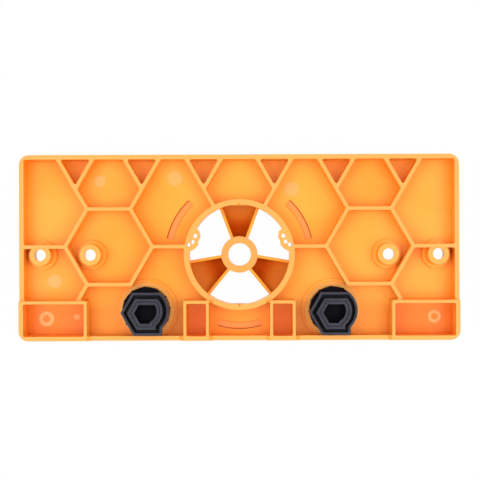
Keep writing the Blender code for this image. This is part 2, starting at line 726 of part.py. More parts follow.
def cam_cuts():
    """Groove round the post, the fine line on its end, the well, the key socket and screw hole."""
    bm = bmesh.new()
    ring_between(bm, cam_outline(CAM_PLATE_OFFSET - CAM_PLATE_WALL), cam_outline(CAM_POST_FOOT),
                 Z_CAM_PLATE_TOP - CAM_GROOVE_DEPTH, Z_CAM_PLATE_TOP + OVERSHOOT)
    ring_between(bm, cam_outline(CAM_LINE_WIDTH - CAM_LINE_OFFSET), cam_outline(-CAM_LINE_OFFSET),
                 Z_CAM_TOP - CAM_LINE_DEPTH, Z_CAM_TOP + OVERSHOOT)
    return bm


def cam_bores():
    bm = bmesh.new()
    prism(bm, cam_outline(-CAM_WELL_OFFSET), Z_WELL_BOTTOM, Z_CAM_TOP + OVERSHOOT)
    socket = (DIAL_KEY_FLATS / 2 + RUNNING_GAP) / math.cos(math.radians(30))
    web_bottom = Z_WELL_BOTTOM - CAM_WEB + SEAT_GAP
    prism(bm, circle((0.0, 0.0), socket, 6), Z_DRUM_BOTTOM - OVERSHOOT, web_bottom)
    return bm


def screw_hole():
    """Hole for the screw with a recess for its head, from the grip's end to just past its tip."""
    bm = bmesh.new()
    turned(bm, (0.0, 0.0), [
        (SCREW_RECESS_RADIUS, -OVERSHOOT),
        (SCREW_RECESS_RADIUS, SCREW_RECESS_DEPTH),
        (SCREW_SHANK_RADIUS + SEAT_GAP, SCREW_RECESS_DEPTH),
        (SCREW_SHANK_RADIUS + SEAT_GAP, Z_SCREW_HEAD + SCREW_LENGTH + SCREW_TIP_ROOM),
    ], 24)
    return bm


def build_index_cam(name, material, axis):
    cam = finish_object(name, cam_body(), material, parent=axis)
    finish_tool(name + "_detent_tool", cam_detents(), cam, "UNION")
    finish_tool(name + "_post_tool", cam_plate_and_post(), cam, "UNION")
    finish_tool(name + "_groove_tool", cam_cuts(), cam, "DIFFERENCE")
    finish_tool(name + "_bore_tool", cam_bores(), cam, "DIFFERENCE")
    finish_tool(name + "_screw_tool", screw_hole(), cam, "DIFFERENCE")
    shade(cam)
    return cam


def dial_disc():
    bm = bmesh.new()
    bottom = Z_DIAL_DISC - DIAL_THICKNESS
    turned(bm, (0.0, 0.0), [
        (DIAL_RADIUS - DIAL_CHAMFER, bottom),
        (DIAL_RADIUS, bottom + DIAL_CHAMFER),
        (DIAL_RADIUS, Z_DIAL_DISC),
        (DIAL_SHAFT_RADIUS, Z_DIAL_DISC),
        (DIAL_SHAFT_RADIUS, Z_DRUM_BOTTOM - SEAT_GAP),
    ], 48)
    return bm


def grip_outline(inset):
    """Bar with round ends, seen along the dial's axis."""
    radius = DIAL_GRIP_WIDTH / 2 - inset
    reach = DIAL_GRIP_LENGTH / 2 - DIAL_GRIP_WIDTH / 2
    return arc((reach, 0.0), radius, -90, 90, 10) + arc((-reach, 0.0), radius, 90, 270, 10)


def dial_grip():
    bm = bmesh.new()
    loft(bm, [
        (grip_outline(DIAL_GRIP_TAPER + DIAL_CHAMFER / 2), 0.0),
        (grip_outline(DIAL_GRIP_TAPER), DIAL_CHAMFER / 2),
        (grip_outline(0.0), Z_DIAL_DISC - DIAL_THICKNESS / 2),
    ])
    return bm


def dial_key():
    """Hexagonal key on the end of the shaft, which turns the cam."""
    bm = bmesh.new()
    corner = DIAL_KEY_FLATS / 2 / math.cos(math.radians(30))
    shaft_end = Z_DRUM_BOTTOM - SEAT_GAP
    prism(bm, circle((0.0, 0.0), corner, 6), shaft_end - EMBED, shaft_end + DIAL_KEY_HEIGHT)
    return bm


def build_setting_dial(name, material, axis):
    dial = finish_object(name, dial_disc(), material, parent=axis)
    finish_tool(name + "_grip_tool", dial_grip(), dial, "UNION")
    finish_tool(name + "_key_tool", dial_key(), dial, "UNION")
    finish_tool(name + "_screw_tool", screw_hole(), dial, "DIFFERENCE")
    shade(dial)
    return dial


def build_cam_screw(name, material, axis):
    bm = bmesh.new()
    turned(bm, (0.0, 0.0), [
        (SCREW_TOP_RADIUS, Z_SCREW_HEAD - SCREW_HEAD_HEIGHT),
        (SCREW_CROWN_RADIUS, Z_SCREW_HEAD - SCREW_HEAD_HEIGHT + SCREW_CROWN_DROP),
        (SCREW_HEAD_RADIUS, Z_SCREW_HEAD - SCREW_HEAD_RIM),
        (SCREW_HEAD_RADIUS, Z_SCREW_HEAD),
        (SCREW_SHANK_RADIUS, Z_SCREW_HEAD),
        (SCREW_SHANK_RADIUS, Z_SCREW_HEAD + SCREW_LENGTH - SCREW_SHANK_RADIUS),
        (SCREW_TIP_RADIUS, Z_SCREW_HEAD + SCREW_LENGTH),
    ], 24)
    screw = finish_object(name, bm, material, parent=axis)
    shade(screw)
    return screw


def main():
    clear_scene()
    orange = make_material("orange_abs", ORANGE_ABS, 0.42)
    black = make_material("black_nylon", BLACK_NYLON, 0.45)
    zinc = make_material("zinc_plated_steel", ZINC_PLATED, 0.30, metallic=1.0)
    build_guide_plate(orange)
    for side, label in ((-1, "left"), (1, "right")):
        axis = bpy.data.objects.new("cam_axis_" + label, None)
        axis.location = (side * CAM_SPACING / 2, Y_CAM, 0.0)
        bpy.context.scene.collection.objects.link(axis)
        build_index_cam("index_cam_" + label, black, axis)
        build_setting_dial("setting_dial_" + label, black, axis)
        build_cam_screw("cam_screw_" + label, zinc, axis)


main()
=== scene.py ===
"""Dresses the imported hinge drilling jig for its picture: finishes, small moulded details, floor, lights and camera.

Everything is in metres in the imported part's own frame. X runs along the plate, +Y points from the
fenced edge to the far edge, and +Z points out of the ribbed working side, towards the camera.
"""

import json
import math

import bmesh
import bpy
import numpy as np
from bpy.props import FloatProperty, FloatVectorProperty, IntProperty, PointerProperty
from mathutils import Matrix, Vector


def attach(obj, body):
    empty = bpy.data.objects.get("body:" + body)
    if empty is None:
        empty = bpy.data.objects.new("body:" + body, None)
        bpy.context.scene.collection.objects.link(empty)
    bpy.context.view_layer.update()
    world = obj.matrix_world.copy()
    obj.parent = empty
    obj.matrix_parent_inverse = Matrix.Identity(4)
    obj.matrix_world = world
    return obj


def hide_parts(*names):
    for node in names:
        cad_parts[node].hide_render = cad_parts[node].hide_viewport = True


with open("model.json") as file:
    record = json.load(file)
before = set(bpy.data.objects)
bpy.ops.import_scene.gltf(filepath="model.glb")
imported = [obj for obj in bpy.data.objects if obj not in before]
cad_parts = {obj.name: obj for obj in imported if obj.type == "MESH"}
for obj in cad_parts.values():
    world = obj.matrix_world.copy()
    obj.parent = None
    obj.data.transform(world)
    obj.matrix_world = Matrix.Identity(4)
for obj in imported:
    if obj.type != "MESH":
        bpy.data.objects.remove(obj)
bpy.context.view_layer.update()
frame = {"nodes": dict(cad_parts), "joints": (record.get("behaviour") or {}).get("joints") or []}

bl_info = {
    "name": "Hinge Drilling Jig",
    "version": (1, 0, 0),
    "blender": (4, 5, 0),
    "location": "3D View > Sidebar > Drilling Jig",
    "description": "Finishes and small details for a moulded hinge drilling jig",
    "category": "Object",
}

MM = 0.001

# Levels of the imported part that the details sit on
Z_DIAL_FACE = 13.4 * MM
Z_DIAL_BACK = 17.2 * MM
Z_ARC_FLOOR = 18.8 * MM
Z_FLOOR = 20.0 * MM
Z_SEAT = 22.6 * MM
Z_WORK = 32.0 * MM
Z_CAM_PLATE = 35.9 * MM

# Places in plan: the cup's centre, and each cam's axis by its body's name
CUP = (0.0, -3.7 * MM)
CAM_AXES = {joint["child"]: tuple(joint["pos_m"][:2]) for joint in frame["joints"]}
SIDES = ("left", "right")

# A cam's outline, in mm from its axis: its four flats, the shoulder after them, and the arc back to the first
CAM_FLATS = (6.25, 7.25, 8.25, 9.25)
CAM_SHOULDER = 5.5
CAM_ARC_RADIUS = 9.0
DRUM_RADIUS = 12.1

# The detents' ridges round a drum: the first one's angle, the step between them and their half width, in degrees
DETENT_START = 5
DETENT_STEP = 30
DETENT_HALF_WIDTH = 3.5
DETENT_HEIGHT = 0.35

# Ejector pins' marks on the floors: centre, inner radius (none in a full disc) and outer radius, in mm
EJECTOR_MARKS = (
    (-96.0, -17.2, 0.0, 4.0),
    (-33.3, 36.0, 0.0, 4.6),
    (27.2, 30.3, 0.0, 4.4),
    (-72.3, 34.6, 0.0, 3.5),
    (-100.3, -36.8, 1.6, 4.2),
    (-84.6, -35.9, 0.0, 1.8),
    (101.2, -36.2, 1.4, 3.6),
)
ARC_RADII = (35.0 * MM, 38.8 * MM)
ARC_HALF_ANGLE = 17.5
ARC_ANGLES = (30, 150, 270)

# Flat facing the cup at each place round a dial, by the cup's distance from the door's edge in mm
DIAL_NUMBERS = ((90, "5"), (150, "4"), (210, "3"), (270, "2"))
DIAL_NUMBER_RADIUS = 11.3 * MM
DIAL_RADIUS = 14.5 * MM

# The orange plastic's bands in plan: the guide's edge and the seats' edge, and where the detents rub a seat
GUIDE_EDGE = (9.4 * MM, 9.8 * MM)
SEAT_EDGE = (14.1 * MM, 14.3 * MM)
SEAT_RUB_RADIUS = 13.0 * MM
# Between the floors of the spokes' channels and the tops of their walls lies a cone about the cup's axis
SPOKE_CONE_SLOPE = 0.415
SPOKE_CONE_LEVELS = (7.2 * MM, 7.9 * MM)

# The camera looks straight down on this place, with its film shifted to the picture's frame
CAMERA_PLACE = (3.9 * MM, -1.4 * MM)
CAMERA_SHIFT = (-0.0144, 0.0209)
LAMP_PLACE = (0.48, -0.08, 0.84)
FLOOR_REACH = 3.0

# Where the softbox overhead and its dimmed mirror image begin, and where they are full, as the upward part of the
# direction in which they are seen
SOFTBOX_EDGE = (0.84, 0.92)
CROSSED_EDGE = (0.90, 0.975)


def linear(colour):
    """Scene-linear red, green, blue and alpha of an sRGB hex colour."""
    parts = np.array([int(colour[index:index + 2], 16) for index in (1, 3, 5)]) / 255
    curve = np.where(parts <= 0.04045, parts / 12.92, ((parts + 0.055) / 1.055) ** 2.4)
    return (*curve.tolist(), 1.0)


def colour_setting(name, description, colour):
    """Setting for a colour, whose default is given as an sRGB hex value."""
    return FloatVectorProperty(
        name=name, description=description, default=linear(colour), size=4, min=0.0, max=1.0, subtype="COLOR")


# Settings

class JigFinish(bpy.types.PropertyGroup):
    """Colours and gloss of the finishes"""
    plastic_colour: colour_setting("Plastic", "Orange of the moulding", "#FFA21E")
    plastic_flow_colour: colour_setting("Plastic Flow", "Paler orange where the melt flowed last", "#FFAD34")
    # Painted sheen on the upward faces of the working plane and on the guide's end
    plastic_top_sheen_colour: colour_setting("Plastic Rubbed", "Orange of the faces that lie on the door", "#FFA650")
    # Painted light on the seats where the cams' shade falls, with the detents' rubbed ring
    plastic_seat_light_and_rub_colour: colour_setting("Plastic Seat", "Pale orange of the cams' seats", "#FFB252")
    # Painted shade down in the spokes' channels
    plastic_channel_shade_colour: colour_setting("Plastic Deep", "Fuller orange down in the spokes' channels", "#BA4C06")
    # Painted shade on the floors along the fenced edge and in the four blocks
    plastic_fence_shade_colour: colour_setting(
        "Plastic Fuller", "Fuller orange on the floors along the fenced edge", "#F07800")
    plastic_mark_colour: colour_setting("Ejector Mark", "Paler, cooler orange of the ejector marks", "#FFB55E")
    plastic_gloss: FloatProperty(
        name="Plastic Roughness", description="Roughness of the orange moulding", default=0.32, min=0.1, max=0.9)
    nylon_colour: colour_setting("Nylon", "Black of the cams and dials", "#0D0D14")
    # Greyer black: painted sheen on the cams' top faces, and wear on the dials
    nylon_wear_and_sheen_colour: colour_setting("Nylon Rubbed", "Grey black of the cams' handled faces", "#3C3B47")
    ink_colour: colour_setting("Dial Ink", "Ink on the dials' numbers", "#E9E7DF")
    zinc_colour: colour_setting("Zinc", "Bright zinc plate of the screws", "#C6C9CC")


class JigDetails(bpy.types.PropertyGroup):
    """Sizes of the small details"""
    mark_height: FloatProperty(
        name="Mark Height", description="Height of an ejector mark above its floor",
        default=0.045 * MM, min=0.03 * MM, max=0.5 * MM, unit="LENGTH")
    flute_count: IntProperty(
        name="Dial Flutes", description="Finger flutes round each dial", default=40, min=8, max=80)
    flute_depth: FloatProperty(
        name="Flute Depth", description="Depth of a dial's flutes",
        default=0.35 * MM, min=0.0, max=0.6 * MM, unit="LENGTH")
    number_height: FloatProperty(
        name="Number Height", description="Height of the dials' numbers", default=3.4 * MM, unit="LENGTH")
    thread_pitch: FloatProperty(
        name="Thread Pitch", description="Pitch of the cam screws' thread",
        default=1.3 * MM, min=0.5 * MM, unit="LENGTH")


class JigStage(bpy.types.PropertyGroup):
    """Camera and light"""
    camera_height: FloatProperty(
        name="Camera Height", description="Camera above the working plane", default=0.680, unit="LENGTH")
    view_angle: FloatProperty(
        name="View Angle", description="Horizontal field of view", default=math.radians(20.45), subtype="ANGLE")
    camera_roll: FloatProperty(
        name="Camera Roll", description="Turn of the camera about its axis",
        default=math.radians(-0.22), subtype="ANGLE")
    sky_level: FloatProperty(
        name="Sky Level", description="Strength of the even light from all round", default=0.68, min=0.0)
    softbox_level: FloatProperty(
        name="Softbox Level", description="Strength of the softbox overhead", default=2.1, min=0.0)
    sky_crown: FloatProperty(
        name="Sky Crown", description="Share of the even light that gloss mirrors from straight overhead",
        default=0.15, min=0.0, max=1.0)
    lamp_power: FloatProperty(
        name="Lamp Power", description="Power of each soft lamp", default=2.0, min=0.0, unit="POWER")
    lamp_size: FloatProperty(
        name="Lamp Size", description="Side of each soft lamp", default=0.45, min=0.01, unit="LENGTH")


# Meshes: a shell is a closed surface, given as its points and a list of face arrays

def grid_shell(points, wrap_rows=False, capped=False):
    """Shell on a grid of points, closed round along each row.

    Each quad joins a point to the next along its row and to the two beyond them in the next row. The
    rows close round too, or else the first and last of them are each filled with one flat face.
    """
    rows, columns = points.shape[:2]
    row, column = np.meshgrid(np.arange(rows if wrap_rows else rows - 1), np.arange(columns), indexing="ij")
    next_row, next_column = (row + 1) % rows, (column + 1) % columns
    faces = [np.stack([
        row * columns + column,
        row * columns + next_column,
        next_row * columns + next_column,
        next_row * columns + column,
    ], axis=-1).reshape(-1, 4)]
    if capped:
        faces += [np.arange(columns)[None, ::-1], np.arange(columns)[None, :] + (rows - 1) * columns]
    return points.reshape(-1, 3), faces


def turned_points(centre, radii, heights, sides):
    """Turned surface: each point is centre + radius (cos t, sin t) at its height, with t once round along a row.

    Radii and heights are one number for each row, or one for each point.
    """
    turn = np.linspace(0, 2 * math.pi, sides, endpoint=False)[None, :]
    radii, heights = np.asarray(radii, float), np.asarray(heights, float)
    radii = radii[:, None] if radii.ndim == 1 else radii
    heights = heights[:, None] if heights.ndim == 1 else heights
    x = centre[0] + radii * np.cos(turn)
    y = centre[1] + radii * np.sin(turn)
    return np.stack([x, y, heights + 0 * x], axis=-1)


def arc_points(centre, profile, middle, half, steps):
    """Bar bent to an arc: the profile's (radius, height) pairs carried from angle middle - half to middle + half."""
    turn = np.radians(np.linspace(middle - half, middle + half, steps))[:, None]
    radii, heights = np.asarray(profile, float).T
    x = centre[0] + radii * np.cos(turn)
    y = centre[1] + radii * np.sin(turn)
    return np.stack([x, y, heights + 0 * x], axis=-1)


def new_piece(name, shells, material, body, sharp=35.0):
    """Mesh object made of shells, with its place in its mesh, riding on a body of the part."""
    starts = np.cumsum([0] + [len(points) for points, groups in shells])
    points = np.concatenate([points for points, groups in shells])
    faces = []
    for start, (_, groups) in zip(starts, shells):
        for group in groups:
            faces += (group + start).tolist()
    mesh = bpy.data.meshes.new(name)
    mesh.from_pydata(points.tolist(), [], faces)
    mesh.validate()
    surface = bmesh.new()
    surface.from_mesh(mesh)
    bmesh.ops.recalc_face_normals(surface, faces=surface.faces)
    surface.to_mesh(mesh)
    surface.free()
    mesh.materials.append(material)
    mesh.shade_smooth()
    mesh.set_sharp_from_angle(angle=math.radians(sharp))
    piece = bpy.data.objects.new(name, mesh)
    bpy.context.scene.collection.objects.link(piece)
    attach(piece, body)
    return piece


# Materials

def add_node(tree, kind, inputs=None, **attributes):
    """One node with its settings; an input given as a socket is linked, any other value is set."""
    node = tree.nodes.new(kind)
    for name, value in attributes.items():
        setattr(node, name, value)
    for name, value in (inputs or {}).items():
        if isinstance(value, bpy.types.NodeSocket):
            tree.links.new(value, node.inputs[name])
        else:
            node.inputs[name].default_value = value
    return node


def new_material(name):
    """Material with an output and its Principled shader, and its Object coordinates."""
    material = bpy.data.materials.new(name)
    material.use_nodes = True
    tree = material.node_tree
    tree.nodes.clear()
    output = add_node(tree, "ShaderNodeOutputMaterial")
    shader = add_node(tree, "ShaderNodeBsdfPrincipled")
    tree.links.new(shader.outputs["BSDF"], output.inputs["Surface"])
    place = add_node(tree, "ShaderNodeTexCoord").outputs["Object"]
    return material, tree, shader, place


def zone(tree, *steps):
    """Share of a surface: the product of smooth steps, each given as a value, its range and its level at both ends.

    A step given without its levels rises from 0 to 1.
    """
    share = None
    for value, low, high, *levels in steps:
        at_low, at_high = levels or (0.0, 1.0)
        step = add_node(tree, "ShaderNodeMapRange", {
            "Value": value, "From Min": low, "From Max": high, "To Min": at_low, "To Max": at_high,
        }, interpolation_type="SMOOTHSTEP").outputs["Result"]
        if share is None:
            share = step
        else:
            share = add_node(tree, "ShaderNodeMath", {0: share, 1: step}, operation="MULTIPLY").outputs[0]
    return share


def distance_in_plan(tree, x, y, centre):
    """Distance of a point from a centre, seen along Z."""
    plan = add_node(tree, "ShaderNodeCombineXYZ", {"X": x, "Y": y})
    return add_node(tree, "ShaderNodeVectorMath", {
        0: plan.outputs[0], 1: (centre[0], centre[1], 0.0)}, operation="DISTANCE").outputs["Value"]


def add_grain(tree, shader, place, grain_size, roughness, spread, strength):
    """Spark-eroded grain of a mould: it breaks up the gloss and dents the surface by some hundredths of a mm.

    The real grain is under 0.1 mm across. That is too fine to show, so grain_size is a few times as much.
    """
    grain = add_node(tree, "ShaderNodeTexNoise", {
        "Vector": place, "Scale": 1 / grain_size, "Detail": 2.0}).outputs["Fac"]
    gloss = add_node(tree, "ShaderNodeMapRange", {
        "Value": grain, "From Min": 0.3, "From Max": 0.7,
        "To Min": roughness - spread, "To Max": roughness + spread})
    tree.links.new(gloss.outputs["Result"], shader.inputs["Roughness"])
    bump = add_node(tree, "ShaderNodeBump", {"Height": grain, "Strength": strength, "Distance": 0.04 * MM})
    tree.links.new(bump.outputs["Normal"], shader.inputs["Normal"])


# A Mix node's colour sockets share their names with its number sockets, so the materials give them by index:
# 0 is the share, 6 and 7 are the two colours, and output 2 is what comes out

def floor_orange(tree, place, axes, settings):
    """Orange of the skin: soft clouds where the melt's flow fronts met, with painted shade along the fenced edge and
    in the four blocks.
    """
    # Flow clouds about 35 mm across, drawn out along the plate
    along = add_node(tree, "ShaderNodeMapping", {"Vector": place, "Scale": (0.7, 1.2, 1.0)})
    flow = add_node(tree, "ShaderNodeTexNoise", {
        "Vector": along.outputs[0], "Scale": 1 / (35 * MM), "Detail": 2.0, "Roughness": 0.45, "Distortion": 0.6})
    clouded = add_node(tree, "ShaderNodeMix", {
        0: zone(tree, (flow.outputs["Fac"], 0.3, 0.7)),
        6: settings.plastic_colour,
        7: settings.plastic_flow_colour,
    }, data_type="RGBA").outputs[2]
    # Painted shade: fuller by a third along the fenced edge and by three quarters in the four blocks.
    #     # That is only down by the floor, and not on the outer walls
    beside = add_node(tree, "ShaderNodeMath", {0: axes["X"]}, operation="ABSOLUTE").outputs[0]
    blocks = add_node(tree, "ShaderNodeMath", {
        0: zone(tree, (beside, 15 * MM, 16 * MM), (beside, 28 * MM, 29 * MM, 1.0, 0.0)),
        1: zone(tree, (beside, 74 * MM, 79 * MM)),
    }, operation="MAXIMUM").outputs[0]
    # Painted shade along the fenced edge and in the blocks
    edge = zone(
        tree,
        (axes["Y"], -34 * MM, -26 * MM, 1.0, 0.0),
        (blocks, 0.0, 1.0, 0.32, 0.75),
        (axes["Z"], Z_FLOOR + 1 * MM, Z_FLOOR + 6 * MM, 1.0, 0.0),
        (axes["Y"], -46.8 * MM, -46 * MM),
        (beside, 110.8 * MM, 111.6 * MM, 1.0, 0.0))
    return add_node(tree, "ShaderNodeMix", {
        0: edge, 6: clouded, 7: settings.plastic_fence_shade_colour}, data_type="RGBA").outputs[2]


def moulded_abs(settings):
    """ABS, injection moulded in orange.

    Satin, with soft clouds where the melt's flow fronts met and a fine mould grain. Painted shade makes it fuller
    down in the spokes' channels. Painted light makes the cams' seats paler, and a painted sheen makes what lies on
    the door paler.
    """
    material, tree, shader, place = new_material("orange_abs_moulded")
    axes = add_node(tree, "ShaderNodeSeparateXYZ", {0: place}).outputs
    normal = add_node(tree, "ShaderNodeNewGeometry").outputs["Normal"]
    upward = add_node(tree, "ShaderNodeSeparateXYZ", {0: normal}).outputs["Z"]
    from_cup = distance_in_plan(tree, axes["X"], axes["Y"], CUP)
    colour = floor_orange(tree, place, axes, settings)

    # Painted shade down in the spokes' channels, fullest 14 mm from the cup's centre. Neither the guide's end
    #     # nor the tops of the walls, which lie above the cone, take part
    cone = add_node(tree, "ShaderNodeMath", {0: from_cup, 1: SPOKE_CONE_SLOPE}, operation="MULTIPLY").outputs[0]
    above_cone = add_node(tree, "ShaderNodeMath", {0: axes["Z"], 1: cone}, operation="SUBTRACT").outputs[0]
    channel_shade = zone(
        tree,
        (from_cup, 14 * MM, 22 * MM, 1.0, 0.72),
        (upward, 0.1, 0.4),
        (axes["Z"], Z_FLOOR - 0.3 * MM, Z_FLOOR - 0.1 * MM, 1.0, 0.0),
        (from_cup, *GUIDE_EDGE),
        (from_cup, 9.8 * MM, 14 * MM, 0.8, 1.0),
        (above_cone, *SPOKE_CONE_LEVELS, 1.0, 0.0))
    colour = add_node(tree, "ShaderNodeMix", {
        0: channel_shade, 6: colour, 7: settings.plastic_channel_shade_colour}, data_type="RGBA").outputs[2]

    # Painted light: paler seats where the cams' shade falls, palest on a ring about 1 mm wide where the detents rub.
    #     # The seats mirror each other
    beside = add_node(tree, "ShaderNodeMath", {0: axes["X"]}, operation="ABSOLUTE").outputs[0]
    from_cam = distance_in_plan(tree, beside, axes["Y"], CAM_AXES["right_cam"])
    from_rub = add_node(tree, "ShaderNodeMath", {0: from_cam, 1: SEAT_RUB_RADIUS}, operation="SUBTRACT").outputs[0]
    from_rub = add_node(tree, "ShaderNodeMath", {0: from_rub}, operation="ABSOLUTE").outputs[0]
    seat_light_and_rub = zone(
        tree,
        (from_rub, 0.4 * MM, 1.0 * MM, 1.0, 0.7),
        (from_cam, *SEAT_EDGE, 1.0, 0.0),
        (axes["Z"], Z_SEAT - 0.3 * MM, Z_SEAT - 0.1 * MM))
    colour = add_node(tree, "ShaderNodeMix", {
        0: seat_light_and_rub, 6: colour, 7: settings.plastic_seat_light_and_rub_colour}, data_type="RGBA").outputs[2]

    # Painted sheen: the guide's end and the upward faces of the working plane, which lie on the door, are paler
    top_sheen = add_node(tree, "ShaderNodeMath", {
        0: zone(tree, (from_cup, *GUIDE_EDGE, 0.85, 0.0)),
        1: zone(tree, (axes["Z"], Z_WORK - 0.4 * MM, Z_WORK - 0.1 * MM, 0.0, 0.85)),
    }, operation="MAXIMUM").outputs[0]
    top_sheen = add_node(tree, "ShaderNodeMath", {
        0: top_sheen, 1: zone(tree, (upward, 0.3, 0.8))}, operation="MULTIPLY").outputs[0]
    colour = add_node(tree, "ShaderNodeMix", {
        0: top_sheen, 6: colour, 7: settings.plastic_top_sheen_colour}, data_type="RGBA").outputs[2]
    tree.links.new(colour, shader.inputs["Base Color"])

    # Grain about 0.3 mm
    add_grain(tree, shader, place, 0.3 * MM, settings.plastic_gloss, 0.06, 0.12)
    shader.inputs["IOR"].default_value = 1.53
    # The eroded skin scatters part of the gloss away
    shader.inputs["Specular IOR Level"].default_value = 0.28
    return material


def marked_abs(settings):
    """ABS where an ejector pin pressed it off the mould: paler and glossier, up to an edge lost in the floor."""
    material, tree, shader, place = new_material("orange_abs_ejector_mark")
    axes = add_node(tree, "ShaderNodeSeparateXYZ", {0: place}).outputs
    # Faint clouds about 2.5 mm across
    cloud = add_node(tree, "ShaderNodeTexNoise", {
        "Vector": place, "Scale": 1 / (2.5 * MM), "Detail": 2.0}).outputs["Fac"]
    pressed = zone(
        tree, (axes["Z"], Z_FLOOR + 0.022 * MM, Z_FLOOR + 0.040 * MM), (cloud, 0.25, 0.75, 0.7, 1.0))
    colour = add_node(tree, "ShaderNodeMix", {
        0: pressed,
        6: floor_orange(tree, place, axes, settings),
        7: settings.plastic_mark_colour,
    }, data_type="RGBA").outputs[2]
    tree.links.new(colour, shader.inputs["Base Color"])
    add_grain(tree, shader, place, 0.4 * MM, settings.plastic_gloss - 0.06, 0.04, 0.06)
    shader.inputs["IOR"].default_value = 1.53
    return material


def arc_abs(settings):
    """ABS in the arc recesses: moulded against a smoother insert, with painted shade along both edges, darkest along
    the outer one.
    """
    material, tree, shader, place = new_material("orange_abs_smooth_insert")
    axes = add_node(tree, "ShaderNodeSeparateXYZ", {0: place}).outputs
    reach = distance_in_plan(tree, axes["X"], axes["Y"], CUP)
    band = add_node(tree, "ShaderNodeMapRange", {
        "Value": reach, "From Min": ARC_RADII[0], "From Max": ARC_RADII[1]}).outputs["Result"]
    edge_shade_ramp = add_node(tree, "ShaderNodeValToRGB", {"Fac": band})
    stops = edge_shade_ramp.color_ramp.elements
    # Painted shade: darker at each recess's inner edge and darkest at its outer edge, with the insert's orange
    # between
    stops[0].position, stops[0].color = 0.0, linear("#C8681E")
    stops[1].position, stops[1].color = 1.0, linear("#A9480A")
    for position, colour in ((0.10, "#F89436"), (0.3, "#FF9D42"), (0.80, "#FF9A40"), (0.90, "#B9550F")):
        stops.new(position).color = linear(colour)
    tree.links.new(edge_shade_ramp.outputs["Color"], shader.inputs["Base Color"])
    add_grain(tree, shader, place, 0.5 * MM, settings.plastic_gloss - 0.08, 0.04, 0.08)
    shader.inputs["IOR"].default_value = 1.53
    return material


def moulded_nylon(name, settings, wear_and_sheen_from, wear_and_sheen_to, matt_below=None):
    """Nylon, injection moulded in black.

    Satin and nearly neutral, with faint clouds of the glass filling. Between the two given heights it
    turns greyer: wear on the dials' handled faces, and a painted sheen on the cams' top faces. Below
    matt_below, where one is given, it loses its gloss, as down in the wells and grooves.
    """
    material, tree, shader, place = new_material(name)
    height = add_node(tree, "ShaderNodeSeparateXYZ", {0: place}).outputs["Z"]
    # The grey of wear and painted sheen is uneven by about a third, in clouds about 4 mm across
    cloud = add_node(tree, "ShaderNodeTexNoise", {
        "Vector": place, "Scale": 1 / (4 * MM), "Detail": 4.0}).outputs["Fac"]
    wear_and_sheen = zone(tree, (height, wear_and_sheen_from, wear_and_sheen_to), (cloud, 0.25, 0.75, 0.75, 1.1))
    colour = add_node(tree, "ShaderNodeMix", {
        0: wear_and_sheen, 6: settings.nylon_colour, 7: settings.nylon_wear_and_sheen_colour}, data_type="RGBA").outputs[2]
    tree.links.new(colour, shader.inputs["Base Color"])
    # Grain about 0.25 mm
    add_grain(tree, shader, place, 0.25 * MM, 0.30, 0.05, 0.12)
    shader.inputs["IOR"].default_value = 1.53
    # The glass filling breaks through the skin, which takes away part of its gloss
    shader.inputs["Specular IOR Level"].default_value = 0.32
    if matt_below is not None:
        matt = zone(tree, (height, matt_below - 3 * MM, matt_below, 0.08, 0.32))
        tree.links.new(matt, shader.inputs["Specular IOR Level"])
    return material


def zinc_plate(settings):
    """Steel screw, bright zinc plated: a cool silvery metal with faint cloudy passivation."""
    material, tree, shader, place = new_material("steel_zinc_plated")
    # Clouds about 1.2 mm across
    cloud = add_node(tree, "ShaderNodeTexNoise", {
        "Vector": place, "Scale": 1 / (1.2 * MM), "Detail": 4.0}).outputs["Fac"]
    colour = add_node(tree, "ShaderNodeMix", {
        0: zone(tree, (cloud, 0.35, 0.75, 0.0, 0.6)),
        6: settings.zinc_colour,
        7: linear("#A8A798"),
    }, data_type="RGBA").outputs[2]
    tree.links.new(colour, shader.inputs["Base Color"])
    gloss = add_node(tree, "ShaderNodeMapRange", {"Value": cloud, "To Min": 0.22, "To Max": 0.38})
    tree.links.new(gloss.outputs["Result"], shader.inputs["Roughness"])
    shader.inputs["Metallic"].default_value = 1.0
    return material


def pad_ink(settings):
    """Pad-printed ink, matt off-white, a little thin in places so that the black shows through."""
    material, tree, shader, place = new_material("ink_pad_printed")
    # Thin places about 0.5 mm across
    cloud = add_node(tree, "ShaderNodeTexNoise", {
        "Vector": place, "Scale": 1 / (0.5 * MM), "Detail": 3.0}).outputs["Fac"]
    colour = add_node(tree, "ShaderNodeMix", {
        0: zone(tree, (cloud, 0.55, 0.85, 0.0, 0.7)),
        6: settings.ink_colour,
        7: linear("#8C8B88"),
    }, data_type="RGBA").outputs[2]
    tree.links.new(colour, shader.inputs["Base Color"])
    add_grain(tree, shader, place, 0.2 * MM, 0.6, 0.08, 0.1)
    shader.inputs["IOR"].default_value = 1.5
    return material


